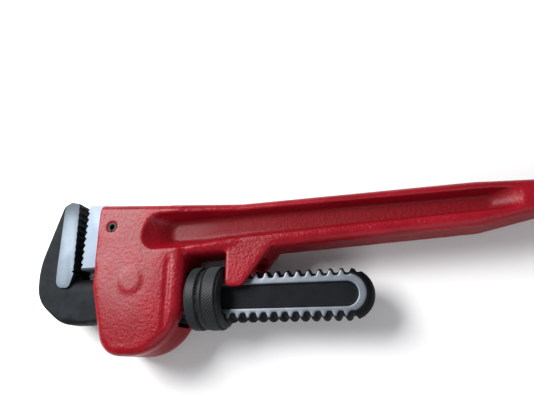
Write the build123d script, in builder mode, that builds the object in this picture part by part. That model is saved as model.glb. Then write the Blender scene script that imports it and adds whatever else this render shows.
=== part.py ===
# Heavy-duty straight pipe wrench, nominal 350 mm (14 in) size, jaws a little open.
#
# The wrench lies flat on a bench. +X runs along the threaded shank towards the grip end,
# +Y points to the side on which the jaws open, +Z is up through the thickness of the tool.
# The origin is the middle of the footprint, on the bench. Every sketch is drawn in the
# wrench's own measure: x from the housing's nose, y from the axis of the threaded shank,
# z from the tool's middle plane, and the helper planes below carry that measure.
import os

from build123d import *

os.makedirs("parts", exist_ok=True)

# ---- driving dimensions, millimetres -------------------------------------------------
# threaded shank of the hook jaw
shank_radius = 12.7  # over the thread crests: a one-inch shank
shank_half = 6.35  # half of its thickness
thread_root = 10.5
thread_pitch = 5.41
crest_width = 1.4
ridge_width = 3.9  # width of one thread ridge at its root
thread_phase = 93.88  # x of one crest, at the top of the shank
thread_turns = 24
plain_end = thread_phase - 13.4 * thread_pitch  # the shank is plain up to here
tail_centre = 134.6  # centre of the rounded tail end
tail_flat = 9.0  # where the flat flank ends, beyond that centre

# jaws
jaw_tip = 55.4  # y of the top of both toothed faces
heel_bottom = 17.3
hook_foot = -19.2  # x of the hook jaw's lowest tooth tip
hook_lean = -0.05  # its face leans away from the heel jaw by this much per mm of height
heel_face = -14.2  # x of the heel jaw's tooth tips
tooth_pitch = 3.7
tooth_depth = 1.2
hook_half = 8.0  # half width of the hook jaw's ground pad
hook_body_half = 6.9
heel_half = 8.4

# housing, the deep end of the handle casting
nose = -2.0  # flat face that the heel jaw is seated on
chin = -3.0  # the cast nose below the heel jaw stands a little proud of it
housing_half = 14.4
housing_low = -29.2
housing_back = 51.5  # wall that faces the adjusting nut
housing_top = 53.9
edge_round = 4.5
passage_half = 6.9
passage_top = 13.7
passage_low = -14.2
pocket_low = -24.6  # floor of the spring pocket below the passage
pocket_end = 38.0

# grip beam
beam_half = 10.5
web_half = 3.6
ceiling = 21.4  # top of the window that holds the nut
neck_start = 42.0
neck_end = 82.0
grip_end = 197.0
taper_end = 223.0
tip_centre = (243.6, 40.4)
tip_radius = 7.6
taper_half = 9.0
tip_half = 7.2
hang_hole = 4.4

# fork that keeps the nut in its window
fork_face = 73.8
fork_gap = 6.9

# adjusting nut
nut_radius = 16.4
nut_start = 54.0
nut_end = 73.2
nut_hub = 13.0
nut_shoulder = 70.2
nut_groove = 60.4
thread_play = 0.3

# springs and pins
spring_half = 5.4
spring_gauge = 1.0
coil_x = 14.0
coil_radius = 4.2
coil_wire = 0.6
pin_place = (7.1, 39.3)
pin_radius = 2.7

# ---- where the wrench's own measure sits in the part's frame --------------------------
hook_back = -44.8
axis_x = -(hook_back + tip_centre[0] + tip_radius) / 2
hook_top = 59.4
axis_y = -(housing_low + hook_top) / 2
axis_z = nut_radius  # the nut is the thickest piece and touches the bench


def side(height=0.0):
    """Plane of the tool's side view, at a height above the middle plane."""
    return Plane(origin=(axis_x, axis_y, axis_z + height))


def cross(x):
    """Plane across the tool at x: sketch x is the tool's y, sketch y is its z."""
    return Plane(origin=(axis_x + x, axis_y, axis_z), x_dir=(0, 1, 0), z_dir=(1, 0, 0))


def under(y):
    """Plane square to the tool's y below the coil spring's place, facing down the tool's y."""
    return Plane(origin=(axis_x + coil_x, axis_y + y, axis_z), x_dir=(1, 0, 0), z_dir=(0, -1, 0))


def place(x, y=0.0, z=0.0):
    """A point given in the wrench's own measure."""
    return Vector(axis_x + x, axis_y + y, axis_z + z)


def thread_ridge(turn, turns, inner, outer, inner_width, outer_width):
    """Right-hand helical ridge on the shank axis, in step with the thread's crests."""
    # the helix starts on the +Z side, a quarter turn on from the crest on the +Y side
    start = thread_phase + (turn + 0.25) * thread_pitch
    with BuildPart() as ridge:
        with BuildLine() as path:
            Helix(
                pitch=thread_pitch,
                height=turns * thread_pitch,
                radius=inner,
                center=place(start),
                direction=(1, 0, 0),
            )
        with BuildSketch(Plane(origin=place(start), x_dir=(0, 0, 1), z_dir=(0, 1, 0))):
            with BuildLine():
                Polyline(
                    (inner, -inner_width / 2),
                    (outer, -outer_width / 2),
                    (outer, outer_width / 2),
                    (inner, inner_width / 2),
                    close=True,
                )
            make_face()
        sweep(path=path.line, is_frenet=True)
    return ridge.part


def cut_teeth(foot, top, depth):
    """Cut saw teeth into a sketched jaw face that runs from its foot up to its top."""
    count = round((top[1] - foot[1]) / tooth_pitch)
    step = (top[1] - foot[1]) / count
    lean = (top[0] - foot[0]) / (top[1] - foot[1])
    clear = -1.0 if depth > 0 else 1.0
    for i in range(count):
        flank, root, hook = (foot[1] + (i + part) * step for part in (0.2, 0.75, 1.0))
        along = [foot[0] + lean * (y - foot[1]) for y in (flank, root, hook)]
        with BuildLine() as gullet:
            Polyline(
                (along[0] + clear, flank), (along[0], flank), (along[1] + depth, root),
                (along[2], hook), (along[2] + clear, hook), close=True,
            )
        make_face(gullet.edges(), mode=Mode.SUBTRACT)


# ---- handle: one casting with the housing, the grip beam and the fork -----------------
with BuildPart() as recess:
    # scooped hollow along the grip, wider at the surface than at the web
    with BuildSketch(side(web_half)):
        with BuildLine():
            FilletPolyline(
                (39, 31.0), (39, 42.4), (203, 43.2), (203, 36.0), (90, 32.2), (60, 30.6),
                radius=[5, 5, 3.5, 3.5, 30, 30], close=True,
            )
        make_face()
    with BuildSketch(side(housing_half + 0.4)):
        with BuildLine():
            FilletPolyline(
                (23.5, 24.8), (29, 45.0), (229, 46.6), (229, 34.0), (84, 28.4), (57, 25.2),
                radius=[8, 9, 5, 5, 40, 40], close=True,
            )
        make_face()
    loft(ruled=True)
    mirror(about=side())

with BuildPart() as handle:
    # housing, drawn longer than it is where the heel jaw's seat is then cut flat
    with BuildSketch(side()):
        with BuildLine():
            FilletPolyline(
                (nose - edge_round, housing_top), (nose - edge_round, heel_bottom + 4),
                (chin, heel_bottom - 1.2), (chin, 7.5), (7.5, housing_low),
                (housing_back, housing_low), (housing_back, 49.4),
                radius=[2, 2, 2, 10, 14, 28, 1], close=True,
            )
        make_face()
    extrude(amount=housing_half, both=True)
    fillet(handle.edges().group_by(Axis.Z)[0] + handle.edges().group_by(Axis.Z)[-1], edge_round)
    with BuildSketch(side(-20)):
        with Locations((nose - 10, heel_bottom - 0.1)):
            Rectangle(10, 50, align=(Align.MIN, Align.MIN))
    extrude(amount=40, mode=Mode.SUBTRACT)
    # neck that thins from the housing, the grip beam, and its taper to the tip
    grip_sections = (
        (neck_start, ceiling, 50.3, housing_half, edge_round),
        (neck_end, 22.3, 48.5, beam_half, edge_round),
        (grip_end, 27.5, 49.4, beam_half, edge_round),
        (taper_end, 33.0, 48.4, taper_half, 3.8),
        (tip_centre[0], tip_centre[1] - tip_radius, tip_centre[1] + tip_radius, tip_half, 2.6),
    )
    for near_end, far_end in zip(grip_sections, grip_sections[1:]):
        for x, low, high, half, corner in (near_end, far_end):
            with BuildSketch(cross(x)):
                with Locations(((low + high) / 2, 0)):
                    RectangleRounded(high - low, 2 * half, corner)
        loft(ruled=True)
    with BuildPart(mode=Mode.PRIVATE) as tip:
        with BuildSketch(side()):
            with Locations(tip_centre):
                Circle(tip_radius)
        extrude(amount=tip_half, both=True)
        fillet(tip.edges().filter_by(GeomType.CIRCLE), 2.6)
    add(tip.part)
    # fork that holds the nut in its window
    with BuildSketch(side()):
        with BuildLine():
            FilletPolyline(
                (fork_face, 26), (fork_face, 4.5), (82.4, 4.5), (90.4, 14.5), (99.5, 26),
                radius=[0.5, 2.6, 4.4, 30, 0.5], close=True,
            )
        make_face()
    extrude(amount=beam_half, both=True)
    # hollow of the I-shaped grip, on both sides
    add(recess.part, mode=Mode.SUBTRACT)
    # slot between the fork's two ears
    with BuildSketch(cross(70)):
        with Locations((8, 0)):
            RectangleRounded(23, 2 * fork_gap, 2)
    extrude(amount=36, mode=Mode.SUBTRACT)
    # passage for the hook jaw's shank, and the spring pocket that opens into it from below
    for low, end in ((passage_low, housing_back + 14), (pocket_low, pocket_end)):
        with BuildSketch(cross(nose - 12)):
            with Locations(((passage_top + low) / 2, 0)):
                RectangleRounded(passage_top - low, 2 * passage_half, 1.5)
        extrude(amount=end - nose + 12, mode=Mode.SUBTRACT)
    # slot for the heel jaw's tongue and the hole of its pin
    with BuildSketch(cross(nose - 1)):
        with Locations((37, 0)):
            RectangleRounded(26.2, 10.4, 1)
    extrude(amount=18.2, mode=Mode.SUBTRACT)
    with BuildSketch(side(-20)):
        with Locations(pin_place):
            Circle(pin_radius + 0.04)
        with Locations(tip_centre):
            Circle(hang_hole)
    extrude(amount=40, mode=Mode.SUBTRACT)
handle.part.label = "handle"
export_step(handle.part, "parts/handle.step")

# ---- heel jaw: toothed block pinned in the housing ------------------------------------
with BuildPart() as heel_jaw:
    with BuildSketch(side()):
        with BuildLine():
            Polyline(
                (heel_face, heel_bottom), (heel_face, jaw_tip), (nose, jaw_tip - 0.7),
                (nose, heel_bottom), close=True,
            )
        make_face()
        cut_teeth((heel_face, heel_bottom), (heel_face, jaw_tip), tooth_depth)
    extrude(amount=heel_half, both=True)
    chamfer(heel_jaw.edges().filter_by(Axis.X).group_by(Axis.Y)[-1], 1.0)
    # tongue that fills the slot in the housing
    with BuildSketch(cross(nose)):
        with Locations((37, 0)):
            RectangleRounded(26, 10.2, 0.9)
    extrude(amount=17)
    with BuildSketch(side(-20)):
        with Locations(pin_place):
            Circle(pin_radius + 0.04)
    extrude(amount=40, mode=Mode.SUBTRACT)
heel_jaw.part.label = "heel_jaw"
export_step(heel_jaw.part, "parts/heel_jaw.step")

# ---- slotted spring pin through housing and heel jaw ----------------------------------
with BuildPart() as heel_jaw_pin:
    with BuildSketch(side(0.4 - housing_half)):
        with Locations(pin_place):
            Circle(pin_radius)
            Circle(pin_radius - 1.1, mode=Mode.SUBTRACT)
        with Locations((pin_place[0], pin_place[1] - pin_radius)):
            Rectangle(0.7, 3, mode=Mode.SUBTRACT)
    extrude(amount=2 * housing_half - 0.8)
heel_jaw_pin.part.label = "heel_jaw_pin"
export_step(heel_jaw_pin.part, "parts/heel_jaw_pin.step")

# ---- hook jaw: threaded shank and hooked head in one forging --------------------------
with BuildPart() as hook_jaw:
    # threaded rod with flat flanks
    with BuildSketch(cross(-10)):
        Circle(thread_root)
    extrude(amount=180)
    add(thread_ridge(-14, thread_turns, thread_root - 0.6, shank_radius, ridge_width, crest_width))
    with BuildSketch(side(-shank_half)):
        with Locations((70, 0)):
            Rectangle(240, 60)
    extrude(amount=2 * shank_half, mode=Mode.INTERSECT)
    # rounded tail: a disc with a bulging rim, so that the flat flanks end before it does
    with BuildPart(mode=Mode.PRIVATE) as beyond_tail:
        with BuildSketch(side(-20)):
            with Locations((tail_centre, 0)):
                Rectangle(40, 40, align=(Align.MIN, Align.CENTER))
        extrude(amount=40)
        with BuildSketch(Plane(origin=place(tail_centre), x_dir=(1, 0, 0), z_dir=(0, -1, 0))):
            with BuildLine():
                ThreePointArc((tail_flat, -shank_half), (shank_radius, 0), (tail_flat, shank_half))
                Polyline(
                    (tail_flat, shank_half), (tail_flat, 12), (0, 12), (0, -12),
                    (tail_flat, -12), (tail_flat, -shank_half),
                )
            make_face()
        revolve(axis=Axis(place(tail_centre), (0, 0, 1)), mode=Mode.SUBTRACT)
    add(beyond_tail.part, mode=Mode.SUBTRACT)
    # plain stretch between the head and the thread
    with BuildPart(mode=Mode.PRIVATE) as plain:
        with BuildSketch(cross(-12)):
            Circle(shank_radius + 0.02)
        extrude(amount=plain_end + 12)
        with BuildSketch(side(-shank_half)):
            with Locations((10, 0)):
                Rectangle(80, 60)
        extrude(amount=2 * shank_half, mode=Mode.INTERSECT)
    add(plain.part)
    # shallow panel sunk in both flanks
    with BuildSketch(side(shank_half - 0.9), side(-shank_half - 4)):
        with Locations(((24 + 139.9) / 2, -0.5)):
            SlotOverall(139.9 - 24, 11.6)
    extrude(amount=4.9, mode=Mode.SUBTRACT)
    # hooked head
    with BuildPart(mode=Mode.PRIVATE) as head:
        with BuildSketch(side()):
            with BuildLine():
                FilletPolyline(
                    (-9, -shank_radius), (-9, shank_radius), (-21.4, shank_radius),
                    (-21.4, hook_top), (-34.0, hook_top), (hook_back - 0.5, 20.9),
                    (-43.6, 1.1), (-24.6, -shank_radius),
                    radius=[0, 0, 6.3, 5.4, 4.4, 40, 19, 21], close=True,
                )
            make_face()
        extrude(amount=hook_body_half, both=True)
        back_edges = head.edges().filter_by(lambda edge: edge.center().X < axis_x - 26.0)
        fillet(back_edges.group_by(Axis.Z)[0] + back_edges.group_by(Axis.Z)[-1], 3.5)
    add(head.part)
    # ground pad that carries the teeth
    hook_high = hook_foot + hook_lean * (jaw_tip - heel_bottom)
    with BuildSketch(side()):
        with BuildLine():
            FilletPolyline(
                (hook_foot, heel_bottom), (hook_high, jaw_tip), (hook_high - 1.0, jaw_tip + 2.0),
                (-27.0, jaw_tip + 3.4), (-31.2, jaw_tip + 1.2), (-30.4, 18.0), (-29.6, 8.0),
                (-21.2, 7.4), (-18.9, 15.6), (-20.4, heel_bottom - 0.6),
                radius=[0, 0, 1, 2, 3, 20, 4.4, 2.6, 0.8, 0], close=True,
            )
        make_face()
        cut_teeth((hook_foot, heel_bottom), (hook_high, jaw_tip), -tooth_depth)
    extrude(amount=hook_half, both=True)
hook_jaw.part.label = "hook_jaw"
export_step(hook_jaw.part, "parts/hook_jaw.step")

# ---- adjusting nut ----------------------------------------------------------------------
with BuildPart() as tap:
    # the screw form that the nut's thread is cut with: the shank's, with running play
    with BuildSketch(cross(nut_start - 16)):
        Circle(thread_root + 0.4)
    extrude(amount=nut_end - nut_start + 36)
    add(
        thread_ridge(
            -9, 7, thread_root - 0.3, shank_radius + 0.35,
            ridge_width + 2 * thread_play, crest_width + 2 * thread_play,
        )
    )

with BuildPart() as adjusting_nut:
    with BuildSketch(side()):
        with BuildLine():
            Polyline(
                (nut_start, 0), (nut_start, nut_radius - 1), (nut_start + 1, nut_radius),
                (nut_groove - 0.8, nut_radius), (nut_groove, nut_radius - 0.8),
                (nut_groove + 0.8, nut_radius), (nut_shoulder, nut_radius),
                (nut_shoulder + 1.7, nut_radius - 1.5), (nut_end, nut_hub), (nut_end, 0), close=True,
            )
        make_face()
    revolve(axis=Axis(place(0), (1, 0, 0)))
    add(tap.part, mode=Mode.SUBTRACT)
adjusting_nut.part.label = "adjusting_nut"
export_step(adjusting_nut.part, "parts/adjusting_nut.step")

# ---- spring assembly under the shank: leaf, coil and the rivet that joins them ----------
leaf_top = -shank_radius - 0.5
with BuildPart() as flat_spring:
    with BuildSketch(side()):
        with BuildLine():
            Polyline((2, leaf_top - 2.2), (8, leaf_top - 0.5), (29, leaf_top - 0.5), (35, leaf_top - 1.8))
        trace(line_width=spring_gauge)
    extrude(amount=spring_half, both=True)
    with BuildSketch(under(-shank_radius)):
        Circle(1.55)
    extrude(amount=6, mode=Mode.SUBTRACT)
flat_spring.part.label = "flat_spring"
export_step(flat_spring.part, "parts/flat_spring.step")

leaf_low = leaf_top - 0.5 - spring_gauge / 2
with BuildPart() as spring_rivet:
    with BuildSketch(under(leaf_top + 0.25)):
        Circle(2.6)
    extrude(amount=0.25)
    with BuildSketch(under(leaf_top)):
        Circle(1.5)
    extrude(amount=spring_gauge + 0.6)
    with BuildSketch(under(leaf_low)):
        Circle(2.4)
    extrude(amount=0.8)
spring_rivet.part.label = "spring_rivet"
export_step(spring_rivet.part, "parts/spring_rivet.step")

with BuildPart() as coil_spring:
    with BuildLine() as wire_path:
        Helix(
            pitch=1.9, height=5.7, radius=coil_radius,
            center=place(coil_x, leaf_low - coil_wire), direction=(0, -1, 0),
        )
    with BuildSketch(Plane(origin=wire_path.line @ 0, z_dir=wire_path.line % 0)):
        Circle(coil_wire)
    sweep(path=wire_path.line, is_frenet=True)
coil_spring.part.label = "coil_spring"
export_step(coil_spring.part, "parts/coil_spring.step")
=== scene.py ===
# %% [markdown]
# # A 350 mm pipe wrench, lying on a bench
#
# The wrench is a red enamelled iron casting that carries a pinned heel jaw and guides a forged,
# black hook jaw, which a knurled nut winds in and out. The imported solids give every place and
# size. This lesson adds what a drawing leaves out: the softness and skin of a sand casting,
# the flow of a forging, real knurling, and finishes that answer to light.

# %% Load the frame
from math import pi, radians

import bpy
from mathutils import Matrix, Vector


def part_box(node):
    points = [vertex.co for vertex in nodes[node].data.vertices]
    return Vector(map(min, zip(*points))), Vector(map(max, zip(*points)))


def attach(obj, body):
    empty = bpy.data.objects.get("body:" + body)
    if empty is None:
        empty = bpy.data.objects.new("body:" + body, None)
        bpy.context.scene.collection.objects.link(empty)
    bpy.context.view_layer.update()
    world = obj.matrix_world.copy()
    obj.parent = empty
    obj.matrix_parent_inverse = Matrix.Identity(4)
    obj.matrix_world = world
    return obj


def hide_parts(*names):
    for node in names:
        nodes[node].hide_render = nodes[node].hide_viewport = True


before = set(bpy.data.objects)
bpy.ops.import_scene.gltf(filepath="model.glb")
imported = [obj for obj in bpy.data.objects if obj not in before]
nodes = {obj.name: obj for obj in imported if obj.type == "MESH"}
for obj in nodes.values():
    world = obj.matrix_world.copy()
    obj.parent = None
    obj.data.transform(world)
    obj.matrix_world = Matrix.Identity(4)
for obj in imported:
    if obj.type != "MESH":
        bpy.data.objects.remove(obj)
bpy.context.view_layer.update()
MM = 0.001
print("solids in the frame:", sorted(nodes))

# %% [markdown]
# Every place on the wrench is easiest to say from two lines of the real tool: the axis of its
# threaded shank, and the middle plane of its thickness. Both run through the adjusting nut, so
# the nut's box gives them. Lengths along the tool are counted from a line just inside the
# housing's nose, and the heel jaw's tongue, let in behind it, ends 15 mm further on.

# %% Find the shank axis and the nose
TONGUE_END = 15
nut_low, nut_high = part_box("adjusting_nut")
AXIS_Y = (nut_low.y + nut_high.y) / 2
MIDDLE_Z = (nut_low.z + nut_high.z) / 2
NUT_RADIUS = (nut_high.y - nut_low.y) / 2 / MM
tongue_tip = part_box("heel_jaw")[1]
NOSE_X = tongue_tip.x - TONGUE_END * MM


def at(x, y, z=0.0):
    """A place in the wrench's own measure, in millimetres, as a point of the frame."""
    return Vector((NOSE_X + x * MM, AXIS_Y + y * MM, MIDDLE_Z + z * MM))


def own(point):
    """A point of the frame in the wrench's own measure, in millimetres."""
    return (point.x - NOSE_X) / MM, (point.y - AXIS_Y) / MM, (point.z - MIDDLE_Z) / MM


print("shank axis at y", round(AXIS_Y, 5), "nose at x", round(NOSE_X, 5))

# %% [markdown]
# ## Finishes
#
# Two effects come back in several finishes, so each is a node group. The casting skin is the
# grain of the sand mould showing through a coat. The ground lines are the fine scratches that a
# grinding wheel leaves. Each also gives out a slow change of tone. A group could hold the whole
# finish, but then its gloss could no longer be set piece by piece, so it holds the pattern only.
#
# The patterns are built from a few small steps, which later finishes use as well: a noise fixed
# to the piece, a sum, and a soft threshold.


# %% Steps that patterns are made of
def noise(tree, scale, detail, rough, stretch=None):
    """A noise pattern on Object coordinates, optionally stretched."""
    place = tree.nodes.new("ShaderNodeTexCoord")
    node = tree.nodes.new("ShaderNodeTexNoise")
    node.inputs["Scale"].default_value = scale
    node.inputs["Detail"].default_value = detail
    node.inputs["Roughness"].default_value = rough
    if stretch is None:
        tree.links.new(place.outputs["Object"], node.inputs["Vector"])
    else:
        mapping = tree.nodes.new("ShaderNodeMapping")
        mapping.inputs["Scale"].default_value = stretch
        tree.links.new(place.outputs["Object"], mapping.inputs["Vector"])
        tree.links.new(mapping.outputs["Vector"], node.inputs["Vector"])
    return node


def calculate(tree, operation, first, second=None):
    """A Math node fed by sockets or plain numbers."""
    node = tree.nodes.new("ShaderNodeMath")
    node.operation = operation
    for slot_number, value in enumerate((first, second)):
        if value is None:
            continue
        if isinstance(value, (int, float)):
            node.inputs[slot_number].default_value = value
        else:
            tree.links.new(value, node.inputs[slot_number])
    return node.outputs[0]


def ramp(tree, value, low, high):
    """0 below low, 1 above high, smooth between."""
    node = tree.nodes.new("ShaderNodeMapRange")
    node.interpolation_type = "SMOOTHSTEP"
    tree.links.new(value, node.inputs["Value"])
    node.inputs["From Min"].default_value = low
    node.inputs["From Max"].default_value = high
    return node.outputs["Result"]


# %% [markdown]
# A group is an empty tree with named sockets. Its inputs set how strong each part of the pattern
# is, and its outputs carry values that change over the surface.


# %% Shared effects
def new_group(name, inputs, outputs):
    """An empty shader group with named number inputs and named outputs."""
    group = bpy.data.node_groups.new(name, "ShaderNodeTree")
    for label, value in inputs:
        socket = group.interface.new_socket(label, in_out="INPUT", socket_type="NodeSocketFloat")
        socket.default_value = value
    for label in outputs:
        group.interface.new_socket(label, in_out="OUTPUT", socket_type="NodeSocketFloat")
    entry = group.nodes.new("NodeGroupInput")
    leave = group.nodes.new("NodeGroupOutput")
    return group, entry, leave


PEBBLE_SCALE = 640
GRAIN_SCALE = 1600
PATCH_SCALE = 45
LINE_SCALE = 900
BLOTCH_SCALE = 130
ACROSS_THE_TOOL = (2.2, 0.06, 1.0)


def build_cast_skin():
    """Height of a sand-cast skin under paint: pebbles that come and go, and finer grain."""
    group, entry, leave = new_group(
        "cast_skin", [("Pebble", 1.0), ("Grain", 0.35)], ["Height", "Tone"]
    )
    pebble = noise(group, PEBBLE_SCALE, 2.0, 0.5)
    grain = noise(group, GRAIN_SCALE, 2.0, 0.6)
    slow = noise(group, PATCH_SCALE, 3.0, 0.6)
    patch = ramp(group, slow.outputs["Fac"], 0.38, 0.62)
    strong = calculate(group, "MULTIPLY", pebble.outputs["Fac"], entry.outputs["Pebble"])
    share = calculate(group, "ADD", calculate(group, "MULTIPLY", patch, 0.6), 0.5)
    uneven = calculate(group, "MULTIPLY", strong, share)
    fine = calculate(group, "MULTIPLY", grain.outputs["Fac"], entry.outputs["Grain"])
    group.links.new(calculate(group, "ADD", uneven, fine), leave.inputs["Height"])
    group.links.new(slow.outputs["Fac"], leave.inputs["Tone"])
    return group


def build_scratches():
    """Fine straight grinding lines across the tool, with slow blotches of tone."""
    group, entry, leave = new_group("ground_lines", [("Lines", 1.0)], ["Height", "Tone"])
    lines = noise(group, LINE_SCALE, 3.0, 0.7, stretch=ACROSS_THE_TOOL)
    blotch = noise(group, BLOTCH_SCALE, 4.0, 0.6)
    height = calculate(group, "MULTIPLY", lines.outputs["Fac"], entry.outputs["Lines"])
    group.links.new(height, leave.inputs["Height"])
    group.links.new(blotch.outputs["Fac"], leave.inputs["Tone"])
    return group


CAST_SKIN = build_cast_skin()
GROUND_LINES = build_scratches()
print("shared effects:", CAST_SKIN.name, GROUND_LINES.name)

# %% [markdown]
# A finish then needs a shader, the shared effect placed in it, and ways to turn a mask into
# colour, roughness or small relief. Masks can also come from where a point lies on the tool: how
# far it stands from the middle plane says whether it is in a hollow or on a flat.


# %% Put a finish together
def new_material(name):
    """A fresh node material with its Principled shader."""
    material = bpy.data.materials.new(name)
    material.use_nodes = True
    tree = material.node_tree
    return material, tree, tree.nodes["Principled BSDF"]


def use_group(tree, group, **values):
    """Place a shared effect in a material with its own values."""
    node = tree.nodes.new("ShaderNodeGroup")
    node.node_tree = group
    for label, value in values.items():
        node.inputs[label].default_value = value
    return node


def bump(tree, shader, height, distance, strength):
    """Feed a height into the shader's normal."""
    node = tree.nodes.new("ShaderNodeBump")
    node.inputs["Strength"].default_value = strength
    node.inputs["Distance"].default_value = distance
    tree.links.new(height, node.inputs["Height"])
    tree.links.new(node.outputs["Normal"], shader.inputs["Normal"])


def blend_colours(tree, factor, first, second):
    """Mix two colours, or colour sockets, by a factor."""
    node = tree.nodes.new("ShaderNodeMix")
    node.data_type = "RGBA"
    tree.links.new(factor, node.inputs[0])
    for socket, value in ((node.inputs[6], first), (node.inputs[7], second)):
        if isinstance(value, tuple):
            socket.default_value = (*value, 1.0)
        else:
            tree.links.new(value, socket)
    return node.outputs[2]


def blend_values(tree, factor, first, second):
    """Run from one number to another as the factor goes from 0 to 1."""
    node = tree.nodes.new("ShaderNodeMapRange")
    tree.links.new(factor, node.inputs["Value"])
    node.inputs["To Min"].default_value = first
    node.inputs["To Max"].default_value = second
    return node.outputs["Result"]


# %% Masks from the place on the tool
def axis_of(tree, letter):
    """One Object coordinate, in metres."""
    place = tree.nodes.new("ShaderNodeTexCoord")
    split = tree.nodes.new("ShaderNodeSeparateXYZ")
    tree.links.new(place.outputs["Object"], split.inputs["Vector"])
    return split.outputs[letter]


def distance_from_middle(tree):
    """Height above or below the tool's middle plane, in metres, on Object coordinates."""
    return calculate(tree, "ABSOLUTE", calculate(tree, "SUBTRACT", axis_of(tree, "Z"), MIDDLE_Z))


# %% [markdown]
# ### Red enamel
#
# The casting was dipped or sprayed in glossy enamel. The enamel softens the sand grain but does
# not hide it, so the gloss breaks up into small sparkles. In the hollows of the grip it is duller,
# and its red is darkened there as painted shade. Edges are painted a little lighter, as a painted
# highlight. One red with an even gloss would look like plastic, so each of these is a mask of
# its own.


# %% Red enamel
def make_enamel():
    """Red gloss over the cast skin, duller with painted shade in hollows, and a painted highlight on
    edges.
    """
    material, tree, shader = new_material("red_enamel")
    skin = use_group(tree, CAST_SKIN, Pebble=1.0, Grain=0.3)
    geometry = tree.nodes.new("ShaderNodeNewGeometry")
    # Painted highlight: this pointiness mask picks out edges, which are painted a lighter red.
    edge_highlight = ramp(tree, geometry.outputs["Pointiness"], 0.51, 0.6)
    tone = ramp(tree, skin.outputs["Tone"], 0.35, 0.65)
    proud = ramp(tree, distance_from_middle(tree), 4.5 * MM, 9.5 * MM)
    body = blend_colours(tree, tone, (0.205, 0.003, 0.009), (0.262, 0.005, 0.014))
    # Painted shade: hollows near the middle plane are painted a darker red.
    body = blend_colours(tree, proud, (0.17, 0.002, 0.006), body)
    colour = blend_colours(tree, edge_highlight, body, (0.34, 0.012, 0.024))
    tree.links.new(colour, shader.inputs["Base Color"])
    gloss = blend_values(tree, tone, 0.25, 0.34)
    dull = calculate(tree, "MULTIPLY", calculate(tree, "SUBTRACT", 1.0, proud), 0.3)
    tree.links.new(calculate(tree, "ADD", gloss, dull), shader.inputs["Roughness"])
    shader.inputs["IOR"].default_value = 1.45
    shader.inputs["Specular IOR Level"].default_value = 0.15
    shader.inputs["Coat Weight"].default_value = 0.1
    shader.inputs["Coat Roughness"].default_value = 0.16
    bump(tree, shader, skin.outputs["Height"], 0.52 * MM, 0.85)
    return material


ENAMEL = make_enamel()
print("made", ENAMEL.name)

# %% [markdown]
# ### Black forging with ground flats
#
# The hook jaw is blackened all over and then surface-ground on its two flanks, so exactly what
# stands highest is bright. The mask is therefore the height above the middle plane: black below
# the ground level, bare steel at it. Further masks hold the bright part back from lines across
# the tool, because the tooth tips and the rounded tail were never touched by the wheel. The black
# itself is made darker nearer the middle plane, in the hollows.


# %% Black oxide and ground steel
def make_forging(name, ground_level, bright, rough, edge_low, edge_high, fade=None):
    """Oxide with steel where the height is ground_level, between two places along the tool."""
    material, tree, shader = new_material(name)
    lines = use_group(tree, GROUND_LINES, Lines=1.0)
    skin = use_group(tree, CAST_SKIN, Pebble=0.5, Grain=0.3)
    ground = ramp(tree, distance_from_middle(tree), ground_level - 0.16 * MM, ground_level - 0.06 * MM)
    along = axis_of(tree, "X")
    started = ramp(tree, along, at(edge_low, 0).x, at(edge_low + 0.3, 0).x)
    going_on = ramp(tree, along, at(edge_high, 0).x, at(edge_high - 0.4, 0).x)
    ground = calculate(tree, "MULTIPLY", calculate(tree, "MULTIPLY", ground, started), going_on)
    tone = ramp(tree, lines.outputs["Tone"], 0.3, 0.7)
    steel = blend_colours(tree, tone, tuple(0.82 * c for c in bright), bright)
    # Given fade, the steel is made darker higher up the tool, between the two given heights.
    if fade:
        dim = ramp(tree, axis_of(tree, "Y"), at(0, fade[0]).y, at(0, fade[1]).y)
        steel = blend_colours(tree, dim, steel, tuple(0.3 * c for c in bright))
    oxide = blend_colours(tree, tone, (0.005, 0.0065, 0.0085), (0.012, 0.015, 0.0185))
    # The oxide is darker nearer the middle plane, in the hollows.
    off_middle = ramp(tree, distance_from_middle(tree), 4.4 * MM, 6.8 * MM)
    oxide = blend_colours(tree, off_middle, (0.0025, 0.003, 0.004), oxide)
    tree.links.new(blend_colours(tree, ground, oxide, steel), shader.inputs["Base Color"])
    tree.links.new(ground, shader.inputs["Metallic"])
    tree.links.new(blend_values(tree, ground, 0.6, rough), shader.inputs["Roughness"])
    shader.inputs["Specular IOR Level"].default_value = 0.09
    grain = calculate(tree, "MULTIPLY", skin.outputs["Height"], 0.6)
    marks = calculate(tree, "MULTIPLY", lines.outputs["Height"], 0.25)
    bump(tree, shader, calculate(tree, "ADD", grain, marks), 0.14 * MM, 0.5)
    return material


ABOVE_EVERYTHING = 60 * MM
SHANK_FINISH = make_forging("black_oxide_ground_shank", 6.35 * MM, (0.19, 0.21, 0.24), 0.5, 16, 144)
HEAD_FINISH = make_forging("black_oxide", ABOVE_EVERYTHING, (0.3, 0.3, 0.3), 0.5, 0, 1)
PAD_FINISH = make_forging(
    "black_oxide_ground_pad", 8.0 * MM, (0.165, 0.197, 0.232), 0.6, -40, -18, (40, 58)
)
print("made", SHANK_FINISH.name, HEAD_FINISH.name, PAD_FINISH.name)

# %% [markdown]
# ### Steel
#
# The heel jaw is bare ground steel. The springs are the same finish, darker with oil, and the
# pin is nearly black. They differ only in numbers, so one function makes all three.


# %% Ground steel, spring steel and the pin
def make_steel(name, colour, rough, metallic=1.0):
    """Bare ground steel."""
    material, tree, shader = new_material(name)
    lines = use_group(tree, GROUND_LINES, Lines=1.0)
    tone = ramp(tree, lines.outputs["Tone"], 0.3, 0.7)
    shade = tuple(0.85 * c for c in colour)
    tree.links.new(blend_colours(tree, tone, shade, colour), shader.inputs["Base Color"])
    tree.links.new(blend_values(tree, tone, rough, rough + 0.08), shader.inputs["Roughness"])
    shader.inputs["Metallic"].default_value = metallic
    bump(tree, shader, lines.outputs["Height"], 0.08 * MM, 0.45)
    return material


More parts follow.
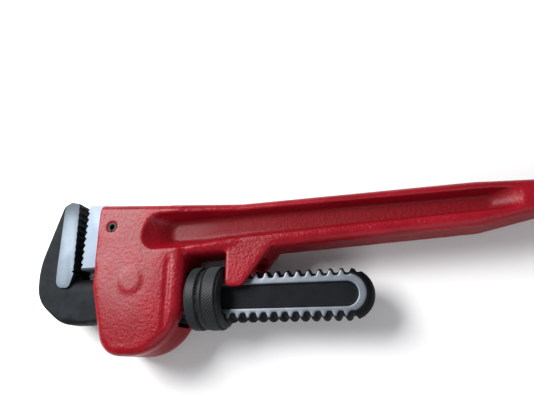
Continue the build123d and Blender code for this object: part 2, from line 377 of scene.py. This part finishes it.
JAW_STEEL = make_steel("ground_jaw_steel", (0.21, 0.25, 0.305), 0.58)
SPRING_STEEL = make_steel("spring_steel", (0.09, 0.09, 0.1), 0.4)
PIN_STEEL = make_steel("black_pin_steel", (0.012, 0.009, 0.01), 0.6, 0.2)
print("made", JAW_STEEL.name, SPRING_STEEL.name, PIN_STEEL.name)

# %% [markdown]
# ### Knurled nut
#
# The nut is blackened like the forging, and fingers rub the crests of its knurl a little paler.
# How far a point lies from the shank's axis tells crest from root, whichever way the nut turns.


# %% Black oxide with rubbed crests
def make_nut_finish():
    """Black oxide whose knurl tips are rubbed a little paler."""
    material, tree, shader = new_material("black_oxide_knurl")
    skin = use_group(tree, CAST_SKIN, Pebble=0.6, Grain=0.4)
    up = calculate(tree, "SUBTRACT", axis_of(tree, "Z"), MIDDLE_Z)
    side = calculate(tree, "SUBTRACT", axis_of(tree, "Y"), AXIS_Y)
    up_squared = calculate(tree, "MULTIPLY", up, up)
    side_squared = calculate(tree, "MULTIPLY", side, side)
    radius = calculate(tree, "SQRT", calculate(tree, "ADD", up_squared, side_squared))
    worn = ramp(tree, radius, (NUT_RADIUS - 0.5) * MM, (NUT_RADIUS - 0.05) * MM)
    tone = ramp(tree, skin.outputs["Tone"], 0.35, 0.65)
    oxide = blend_colours(tree, tone, (0.004, 0.005, 0.006), (0.008, 0.009, 0.01))
    tree.links.new(blend_colours(tree, worn, oxide, (0.05, 0.056, 0.062)), shader.inputs["Base Color"])
    tree.links.new(blend_values(tree, tone, 0.45, 0.55), shader.inputs["Roughness"])
    shader.inputs["Specular IOR Level"].default_value = 0.2
    bump(tree, shader, skin.outputs["Height"], 0.12 * MM, 0.5)
    return material


NUT_FINISH = make_nut_finish()
print("made", NUT_FINISH.name)

# %% [markdown]
# ## The casting
#
# A sand casting has no sharp line anywhere: each edge is rounded and each inside corner is
# filled. Rounding dozens of edges by hand would take long and still look machined. So the solid
# is copied, rebuilt as an even net of small faces, and smoothed, which melts every edge alike.
#
# Operators act on whatever is selected, so each step first lets everything go and takes hold of
# one object. A solid's mesh is loose triangles, so its copy is merged into one skin first.


# %% Take, copy and modify a piece
def take(piece):
    """Select one object and nothing else."""
    if bpy.context.mode != "OBJECT":
        bpy.ops.object.mode_set(mode="OBJECT")
    bpy.ops.object.select_all(action="DESELECT")
    piece.select_set(True)
    bpy.context.view_layer.objects.active = piece


def merged_copy(node, name):
    """A new piece with the shape of a solid, its loose triangles merged into one skin."""
    piece = bpy.data.objects.new(name, nodes[node].data.copy())
    bpy.context.scene.collection.objects.link(piece)
    piece.data.materials.clear()
    take(piece)
    bpy.ops.object.mode_set(mode="EDIT")
    bpy.ops.mesh.select_all(action="SELECT")
    bpy.ops.mesh.remove_doubles(threshold=0.002 * MM)
    bpy.ops.mesh.normals_make_consistent(inside=False)
    bpy.ops.object.mode_set(mode="OBJECT")
    return piece


def finish_modifier(piece, kind, **settings):
    """Add a modifier, set it and apply it."""
    take(piece)
    bpy.ops.object.modifier_add(type=kind)
    modifier = piece.modifiers[-1]
    for key, value in settings.items():
        setattr(modifier, key, value)
    bpy.ops.object.modifier_apply(modifier=modifier.name)


# %% Cast body
handle = merged_copy("handle", "handle_casting")
finish_modifier(handle, "REMESH", mode="VOXEL", voxel_size=0.85 * MM)
finish_modifier(handle, "SMOOTH", factor=0.5, iterations=6)
print("casting net:", len(handle.data.polygons), "faces")

# %% [markdown]
# The pattern that the mould was made from was filed by hand. Its side faces crown gently, a
# shallow groove runs down each face just before the wall of the nut's window and leaves a soft
# rim, and a faint round boss shows on the housing. Both faces get the same treatment, as small
# changes of height that fade out at their edges.


# %% Hand-finished faces of the housing
def smoothstep(value, low, high):
    """0 at low, 1 at high, soft at both ends."""
    part = min(max((value - low) / (high - low), 0.0), 1.0)
    return part * part * (3 - 2 * part)


def housing_relief(x, y):
    """How far the housing's side face sinks, in millimetres."""
    groove = 0.75 * (1 - smoothstep(abs(x - 43.2), 0.0, 2.6))
    groove *= smoothstep(y, -20, -12) * (1 - smoothstep(y, 17, 23))
    crown = 0.9 * (((x - 22) / 30) ** 2 + ((y - 8) / 44) ** 2)
    boss = -0.35 * (1 - smoothstep(((x - 22) ** 2 + (y - 9) ** 2) ** 0.5, 4.5, 8.5))
    return groove + crown + boss


HOUSING_END = 56
for point in handle.data.vertices:
    x, y, z = own(point.co)
    if x < HOUSING_END and abs(z) > 8:
        face = smoothstep(abs(z), 9.0, 13.5) * (1 - smoothstep(x, 49, HOUSING_END))
        face *= (1 - smoothstep(y, 22, 40)) * smoothstep(y, -30, -22)
        point.co.z -= (1 if z > 0 else -1) * face * housing_relief(x, y) * MM
print("deepest relief:", round(housing_relief(43.2, 0), 2), "mm in the groove")

# %% [markdown]
# A finished piece is handed over: it rides with its body, takes its finish, and stands for the
# solid that it was made from.


# %% Hand the casting over
def settle(piece, body, node):
    """Tie a finished piece to its body and the solid that it stands for."""
    piece.data.update()
    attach(piece, body)
    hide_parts(node)
    print(piece.name, "has", len(piece.data.polygons), "faces")


take(handle)
bpy.ops.object.shade_smooth()
handle.data.materials.append(ENAMEL)
settle(handle, "handle_assembly", "handle")

# %% [markdown]
# ## The hook jaw
#
# The hook jaw is one forging, but its parts were made in different ways. The head was hammered
# in a die, so it is soft all over. The thread was cut, and the pads were ground. Each part is
# therefore taken from its own copy of the solid and finished as it was made.
#
# The head comes first: cut off inside the housing, past the step where it meets the shank, and
# without its pads, then rebuilt and smoothed like the casting.


# %% Forged head
def cut_away(piece, place, normal):
    """Cut the piece by a plane, drop the side that the normal points to and close the cut."""
    take(piece)
    bpy.ops.object.mode_set(mode="EDIT")
    bpy.ops.mesh.select_all(action="SELECT")
    bpy.ops.mesh.bisect(plane_co=place, plane_no=normal, use_fill=True, clear_outer=True)
    bpy.ops.object.mode_set(mode="OBJECT")


HEAD_HALF = 6.88
HEAD_END = 4
head = merged_copy("hook_jaw", "hook_head")
cut_away(head, at(HEAD_END, 0), (1, 0, 0))
cut_away(head, at(0, 0, HEAD_HALF), (0, 0, 1))
cut_away(head, at(0, 0, -HEAD_HALF), (0, 0, -1))
finish_modifier(head, "REMESH", mode="VOXEL", voxel_size=0.55 * MM)
finish_modifier(head, "SMOOTH", factor=0.5, iterations=8)
print("head net:", len(head.data.polygons), "faces")

# %% [markdown]
# The inside of the hook's bend is rolled over to a full round, the back is a little dished, and
# the neck thins to the shank. How deep a point lies inside the bend is its distance from two
# straight sides and the arc between them.

# %% Depth inside the bend
BEND_X, BEND_Y, BEND_RADIUS = -15.1, 19.0, 6.3


def depth_in_bend(x, y):
    """Distance from the inner outline of the hook, positive inside the steel."""
    if y > BEND_Y:
        return BEND_X - BEND_RADIUS - x
    if x > BEND_X:
        return BEND_Y - BEND_RADIUS - y
    return ((x - BEND_X) ** 2 + (y - BEND_Y) ** 2) ** 0.5 - BEND_RADIUS


print("the back of the hook lies", round(depth_in_bend(-44.8, 30), 1), "mm deep")

# %% Roll the throat over and thin the neck
ROLL = 8.0
NECK_STEP = 0.5
TOOTH_BED = -22.6


def half_thickness(x, y, z):
    """The greatest distance from the middle plane that the head may have at a place."""
    inside = min(max(depth_in_bend(x, y) / ROLL, 0.0), 1.0)
    rolled = (1 - (1 - inside) ** 2) ** 0.5
    amount = 1 - smoothstep(y, 15.0, 19.0)
    neck = HEAD_HALF - NECK_STEP * smoothstep(x, -20, -9.5)
    dish = 0.7 * smoothstep(-x, 20, 30) * smoothstep(-x, 46, 36) * (1 - smoothstep(y, 30, 52))
    return neck * (1 - amount + amount * (0.1 + 0.9 * rolled)) - dish * smoothstep(abs(z), 4, 6.8)


for point in head.data.vertices:
    x, y, z = own(point.co)
    excess = abs(z) - half_thickness(x, y, z)
    if excess > 0:
        point.co.z -= (1 if z > 0 else -1) * excess * MM
    if y > 16.6 and x > TOOTH_BED:
        point.co.x = at(TOOTH_BED, 0).x
finish_modifier(head, "SMOOTH", factor=0.5, iterations=4)
take(head)
bpy.ops.object.shade_smooth()
head.data.materials.append(HEAD_FINISH)
settle(head, "hook", "hook_jaw")

# %% [markdown]
# The pads and the toothed strip keep their crisp ground shape. They are what is left of three
# copies: the slices above the head on both faces, and the strip that carries the teeth. Each
# slice is drawn down into the head, so no gap shows, and its valleys are made shallower than
# those of the strip, because the ground face ends in a nearly straight edge.


# %% Pads above the head
def tip_line(y):
    """Where the tooth tips of the hook jaw lie, at a height up its face."""
    return -19.2 - 0.05 * (y - 17.3)


PAD_FLOOR, PAD_ROOT = 6.95, 5.0
pad_slices = []
for sign in (1, -1):
    pad = merged_copy("hook_jaw", "hook_pads")
    cut_away(pad, at(0, 0, sign * PAD_FLOOR), (0, 0, -sign))
    cut_away(pad, at(-14, 0), (1, 0, 0))
    for point in pad.data.vertices:
        x, y, z = own(point.co)
        if abs(z) < 7.5:
            point.co.z = at(0, 0, sign * PAD_ROOT).z
        if y > 17.5 and -1.7 < x - tip_line(y) < -0.35:
            point.co.x = at(tip_line(y) - 0.35, 0).x
    pad_slices.append(pad)
print("pad slices:", len(pad_slices))

# %% [markdown]
# The strip is cut free on its back, front, foot and both faces. Then the three are joined. Flat
# triangles melt into whole faces first, so that the bevel finds true edges.


# %% Toothed strip
def join(*pieces):
    """Make several pieces one, under the first one's name."""
    take(pieces[0])
    for piece in pieces:
        piece.select_set(True)
    bpy.ops.object.join()
    return pieces[0]


def clean_flats(piece, width):
    """Melt the triangles of flat faces together and bevel the edges that are left."""
    take(piece)
    bpy.ops.object.mode_set(mode="EDIT")
    bpy.ops.mesh.select_all(action="SELECT")
    bpy.ops.mesh.dissolve_limited(angle_limit=radians(2))
    bpy.ops.object.mode_set(mode="OBJECT")
    finish_modifier(
        piece, "BEVEL", width=width * MM, segments=2, limit_method="ANGLE", angle_limit=radians(28)
    )
    take(piece)
    bpy.ops.object.shade_smooth_by_angle(angle=radians(35))


STRIP_HALF = 7.2
strip = merged_copy("hook_jaw", "tooth_strip")
for place, outward in (
    (at(-23.4, 0), (-1, 0, 0)),
    (at(-17.5, 0), (1, 0, 0)),
    (at(0, 16.9), (0, -1, 0)),
    (at(0, 0, STRIP_HALF), (0, 0, 1)),
    (at(0, 0, -STRIP_HALF), (0, 0, -1)),
):
    cut_away(strip, place, outward)
pads = join(*pad_slices, strip)
clean_flats(pads, 0.22)
pads.data.materials.append(PAD_FINISH)
settle(pads, "hook", "hook_jaw")

# %% [markdown]
# The threaded shank is the rest of the forging, from inside the head's end to the rounded tail.
# A fine even net and two passes of smoothing take the edge off every thread, as wear does.

# %% Threaded shank
shank = merged_copy("hook_jaw", "threaded_shank")
cut_away(shank, at(0, 0), (-1, 0, 0))
finish_modifier(shank, "REMESH", mode="VOXEL", voxel_size=0.45 * MM)
finish_modifier(shank, "SMOOTH", factor=0.5, iterations=2)
take(shank)
bpy.ops.object.shade_smooth()
shank.data.materials.append(SHANK_FINISH)
settle(shank, "hook", "hook_jaw")

# %% [markdown]
# ## Heel jaw
#
# The heel jaw is a milled and ground block. A net of small faces would blunt its teeth, so it
# keeps the solid's flats and only has its sharp corners broken.

# %% Heel jaw
heel = merged_copy("heel_jaw", "heel_jaw_block")
clean_flats(heel, 0.28)
heel.data.materials.append(JAW_STEEL)
settle(heel, "handle_assembly", "heel_jaw")

# %% [markdown]
# ## Adjusting nut
#
# A thumb turns the nut, so it is knurled: slanting ridges rolled into two bands that lean
# opposite ways. A bump pattern would leave the nut's outline smooth, so the ridges are modelled.
# They start as a circle whose every other point is pulled in. The circle is extruded along the
# shank in short steps, and each step is turned a little, so the ridges lean. The end rings are
# drawn in, which rounds the band's edges, and an inner wall closes the ring.

# %% One knurled band
RIDGES = 66
CREST = NUT_RADIUS
ROOT = CREST - 0.85
CORE = CREST - 1.15
EDGE_DROP = 0.5


def knurled_band(start, end, lean, steps, crest=CREST, root=ROOT):
    """A closed ring of ridges; lean is its turn for each millimetre along the shank."""
    bpy.ops.object.select_all(action="DESELECT")
    bpy.ops.mesh.primitive_circle_add(
        vertices=2 * RIDGES, radius=crest * MM, location=at(start, 0), rotation=(0, pi / 2, 0)
    )
    band = bpy.context.object
    bpy.ops.object.transform_apply(location=True, rotation=True, scale=True)
    for point in list(band.data.vertices)[1::2]:
        point.co.y = AXIS_Y + (point.co.y - AXIS_Y) * root / crest
        point.co.z = MIDDLE_Z + (point.co.z - MIDDLE_Z) * root / crest
    bpy.ops.object.mode_set(mode="EDIT")
    bpy.ops.mesh.select_all(action="SELECT")
    middle = at(start, 0)
    drawn_in = (CREST - EDGE_DROP) / CREST
    bpy.ops.transform.resize(value=(1, drawn_in, drawn_in), center_override=middle)
    stride = (end - start) / steps
    for number in range(steps):
        bpy.ops.mesh.extrude_edges_move(TRANSFORM_OT_translate={"value": (stride * MM, 0, 0)})
        bpy.ops.transform.rotate(value=lean * stride, orient_axis="X", center_override=middle)
        if number == 0:
            bpy.ops.transform.resize(value=(1, 1 / drawn_in, 1 / drawn_in), center_override=middle)
        if number == steps - 1:
            bpy.ops.transform.resize(value=(1, drawn_in, drawn_in), center_override=middle)
    inward = (CORE - 0.6) / CREST / drawn_in
    bpy.ops.mesh.extrude_edges_move()
    bpy.ops.transform.resize(value=(1, inward, inward), center_override=middle)
    bpy.ops.mesh.extrude_edges_move(TRANSFORM_OT_translate={"value": ((start - end) * MM, 0, 0)})
    bpy.ops.transform.rotate(value=-lean * (end - start), orient_axis="X", center_override=middle)
    bpy.ops.mesh.select_all(action="DESELECT")
    bpy.ops.mesh.select_non_manifold()
    bpy.ops.mesh.bridge_edge_loops()
    bpy.ops.mesh.select_all(action="SELECT")
    bpy.ops.mesh.normals_make_consistent(inside=False)
    bpy.ops.object.mode_set(mode="OBJECT")
    return band


# %% [markdown]
# A plain collar, the same ring without its zigzag, runs between the groove and the wider band.

# %% Bands and collar
LEAN = 0.055
COLLAR = CREST - 0.4
front_band = knurled_band(54.3, 59.9, -LEAN, 8)
collar = knurled_band(60.9, 63.7, 0, 3, COLLAR, COLLAR)
back_band = knurled_band(63.4, 70.5, LEAN, 11)
print("ridges round the nut:", RIDGES)

# %% [markdown]
# The core keeps the solid's screw thread, hub and groove. Its rim is drawn in under the bands.

# %% Nut core
core = merged_copy("adjusting_nut", "knurled_nut")
for point in core.data.vertices:
    x, y, z = own(point.co)
    radius = (y * y + z * z) ** 0.5
    if radius > CORE:
        point.co.y = AXIS_Y + y * CORE / radius * MM
        point.co.z = MIDDLE_Z + z * CORE / radius * MM
nut = join(core, front_band, collar, back_band)
take(nut)
bpy.ops.object.shade_smooth_by_angle(angle=radians(30))
nut.data.materials.clear()
nut.data.materials.append(NUT_FINISH)
settle(nut, "nut", "adjusting_nut")

# %% [markdown]
# ## Pin and springs
#
# The slotted pin, the leaf spring, its rivet and the coil spring are right as drawn. They only
# need their finishes.

# %% Finishes for the solids that stay
for node_name, finish in (
    ("heel_jaw_pin", PIN_STEEL),
    ("flat_spring", SPRING_STEEL),
    ("coil_spring", SPRING_STEEL),
    ("spring_rivet", SPRING_STEEL),
):
    solid = nodes[node_name]
    solid.data.materials.clear()
    solid.data.materials.append(finish)
    print(node_name, "is finished in", finish.name)

# %% [markdown]
# ## Bench, light and camera
#
# The wrench lies on a pale bench, a hair above it so that the two surfaces never flicker.

# %% Bench
bpy.ops.object.select_all(action="DESELECT")
bpy.ops.mesh.primitive_plane_add(size=6.0, location=(0, 0, -0.0003))
bench = bpy.context.object
bench.name = "bench_top"
bench_material, _, bench_shader = new_material("pale_bench")
bench_shader.inputs["Base Color"].default_value = (0.86, 0.86, 0.86, 1)
bench_shader.inputs["Roughness"].default_value = 0.8
bench.data.materials.append(bench_material)
print("bench:", bench.name)

# %% [markdown]
# A broad soft light from the upper left, a weak fill from the near side and a dim sky keep the
# shapes readable and put long soft highlights on the enamel. A hard lamp would burn out the
# ground pads, which face straight up.


# %% Lights
def soft_light(name, place, target, size, power):
    """A square area light that looks at a target."""
    bpy.ops.object.light_add(type="AREA", location=place)
    lamp = bpy.context.object
    lamp.name = name
    lamp.data.size = size
    lamp.data.energy = power
    lamp.rotation_euler = (Vector(target) - Vector(place)).to_track_quat("-Z", "Y").to_euler()
    print(name, "shines with", power, "W")


soft_light("key_light", (-0.53, 0.33, 0.58), (-0.03, 0, 0), 0.5, 13)
soft_light("fill_light", (0.35, -0.8, 0.7), (0, 0, 0), 0.9, 5)
world = bpy.data.worlds.new("studio")
bpy.context.scene.world = world
world.use_nodes = True
sky = world.node_tree.nodes["Background"]
sky.inputs["Color"].default_value = (0.92, 0.95, 1.0, 1)
sky.inputs["Strength"].default_value = 0.25
bpy.context.scene.view_settings.view_transform = "Standard"

# %% [markdown]
# The camera stands above the grip side and looks back and down at the jaws, close enough that
# the near parts look larger. Its three axes are written out, because a camera that is also
# rolled a little is hard to aim by angles.

# %% Camera
bpy.ops.object.camera_add()
camera = bpy.context.object
camera.name = "bench_camera"
camera_right = Vector((0.96017, 0.0068, -0.27948))
camera_ahead = Vector((-0.26594, 0.33038, -0.90562))
camera_up = camera_right.cross(camera_ahead)
camera_place = at(161.1, -32.8, 232.1)
turn = Matrix((camera_right, camera_up, -camera_ahead)).transposed().to_4x4()
camera.matrix_world = Matrix.Translation(camera_place) @ turn
camera.data.lens = 31.69
camera.data.sensor_width = 36
camera.data.clip_start = 0.01
bpy.context.scene.camera = camera
print("camera stands", round(camera_place.z, 3), "m above the bench")
